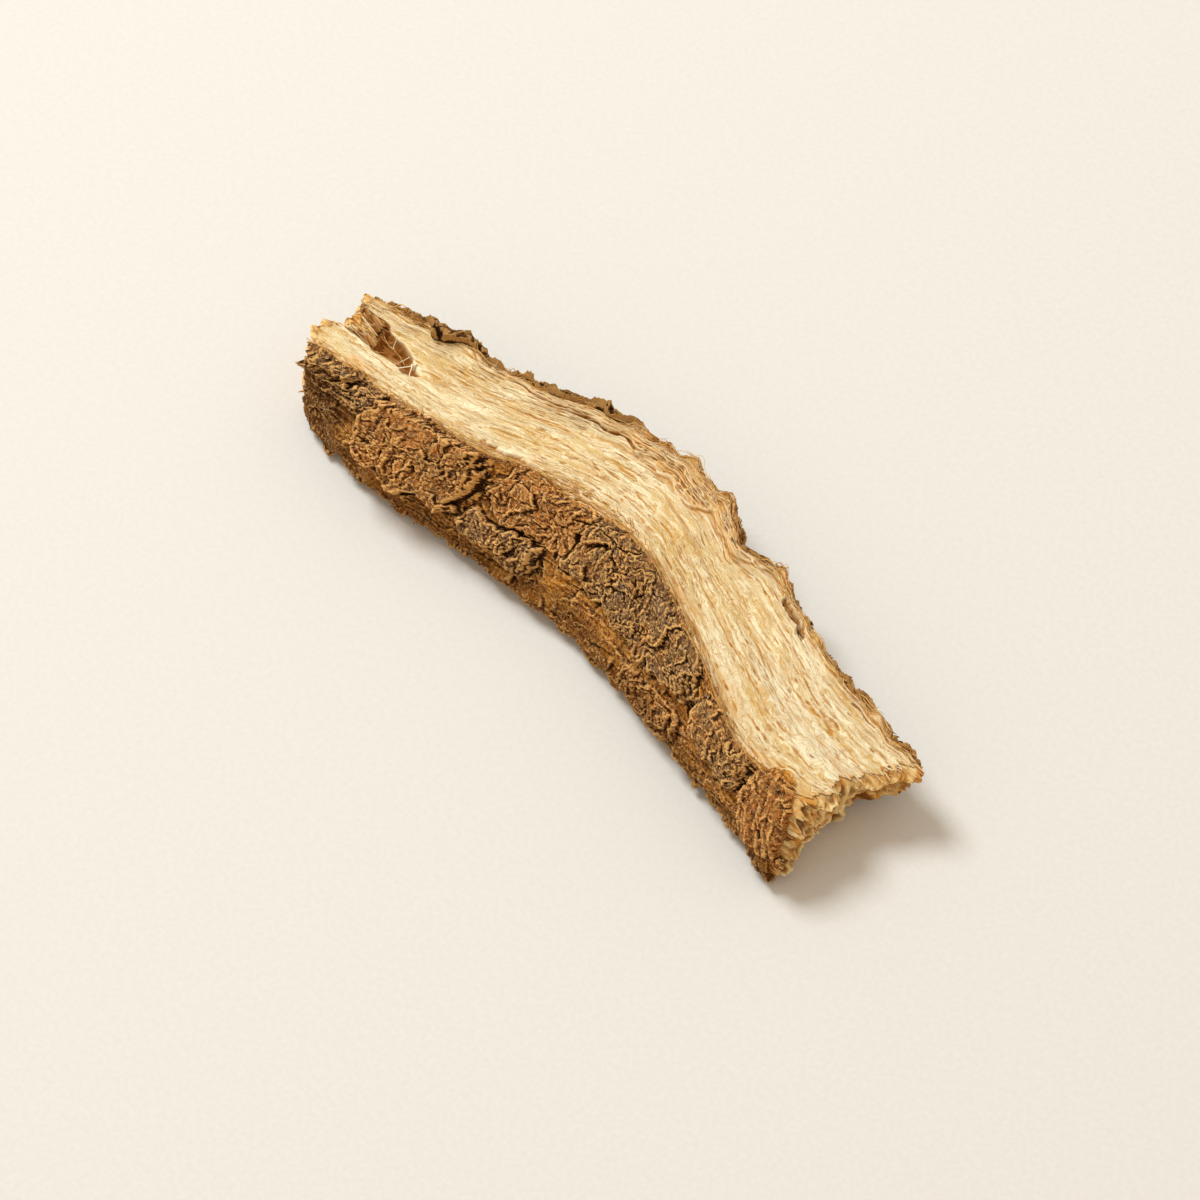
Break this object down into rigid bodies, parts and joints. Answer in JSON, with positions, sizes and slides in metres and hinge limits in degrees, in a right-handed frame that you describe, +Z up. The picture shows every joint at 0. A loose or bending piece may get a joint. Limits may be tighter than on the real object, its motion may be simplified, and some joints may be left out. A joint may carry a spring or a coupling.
{
  "type": "dried root bark strip",
  "caption": "Bowed strip of dried root bark: corky scaly outer back, pale fibrous inner face, torn frayed ends. A loose natural piece that lies on its back.",
  "frame": {"origin": "middle of the strip's box, on the floor it rests on", "axes": "+X along the strip to its wider torn end, +Y to the thin far rim on the outside of the bow, +Z up out of the fibrous inner face"},
  "size_m": [0.089, 0.0276, 0.0123],
  "materials": {
    "dried_root_bark": "dry and matt: cork-brown scales on the back and flanks, straw-coloured fibres on the inner face"
  },
  "bodies": {
    "root": {"root_bark_strip": "dried_root_bark"}
  },
  "joints": []
}
